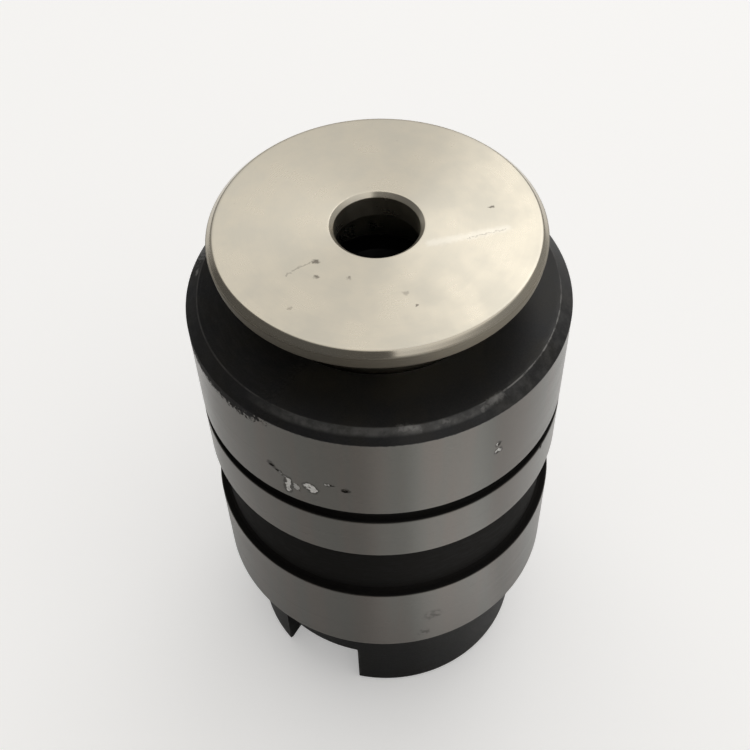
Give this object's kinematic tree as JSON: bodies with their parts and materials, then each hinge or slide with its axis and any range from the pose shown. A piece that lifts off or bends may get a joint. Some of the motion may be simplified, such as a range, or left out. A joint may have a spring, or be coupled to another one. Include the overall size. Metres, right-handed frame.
{
  "type": "tapping collet",
  "caption": "Quick-change tapping collet: ground cylindrical body with a lock groove and a slotted drive end, and a press-down disc that releases the tap.",
  "frame": {"origin": "centre of the lower end face, on the turning axis", "axes": "+Z along the turning axis, from the slotted drive end to the release disc; the drive slot runs along Y"},
  "size_m": [0.028, 0.028, 0.0465],
  "materials": {
    "ground_and_black_steel": "black oxide with three cylindrically ground bright lands",
    "black_steel": "black oxide",
    "turned_steel": "bright, finely turned",
    "spring_steel": "oiled spring steel",
    "ball_steel": "polished bearing steel"
  },
  "bodies": {
    "body": {"locating_shell": "ground_and_black_steel", "drive_core": "black_steel", "release_spring": "spring_steel"},
    "spring_seat": {"spring_washer": "spring_steel"},
    "sleeve": {"release_sleeve": "turned_steel", "stop_ring": "spring_steel"},
    "ball_1": {"lock_ball_1": "ball_steel"},
    "ball_2": {"lock_ball_2": "ball_steel"},
    "ball_3": {"lock_ball_3": "ball_steel"}
  },
  "joints": [
    {"name": "release_slide", "type": "slide", "parent": "body", "child": "spring_seat", "axis": [0, 0, -1], "range_m": [0, 0.0033], "stiffness_N_per_m": 1470, "springref_m": -0.003, "deforming": ["release_spring"]},
    {"name": "sleeve_turn", "type": "hinge", "parent": "spring_seat", "child": "sleeve", "pos_m": [0, 0, 0.0311], "axis": [0, 0, 1], "continuous": true},
    {"name": "ball_slide_1", "type": "slide", "parent": "body", "child": "ball_1", "axis": [0, 1, 0], "range_m": [0, 0.00072]},
    {"name": "ball_slide_2", "type": "slide", "parent": "body", "child": "ball_2", "axis": [-0.866, -0.5, 0], "range_m": [0, 0.00072]},
    {"name": "ball_slide_3", "type": "slide", "parent": "body", "child": "ball_3", "axis": [0.866, -0.5, 0], "range_m": [0, 0.00072]}
  ],
  "couplings": [
    {"joint": "ball_slide_1", "follows": "release_slide", "ratio": 0.21256},
    {"joint": "ball_slide_2", "follows": "release_slide", "ratio": 0.21256},
    {"joint": "ball_slide_3", "follows": "release_slide", "ratio": 0.21256}
  ]
}
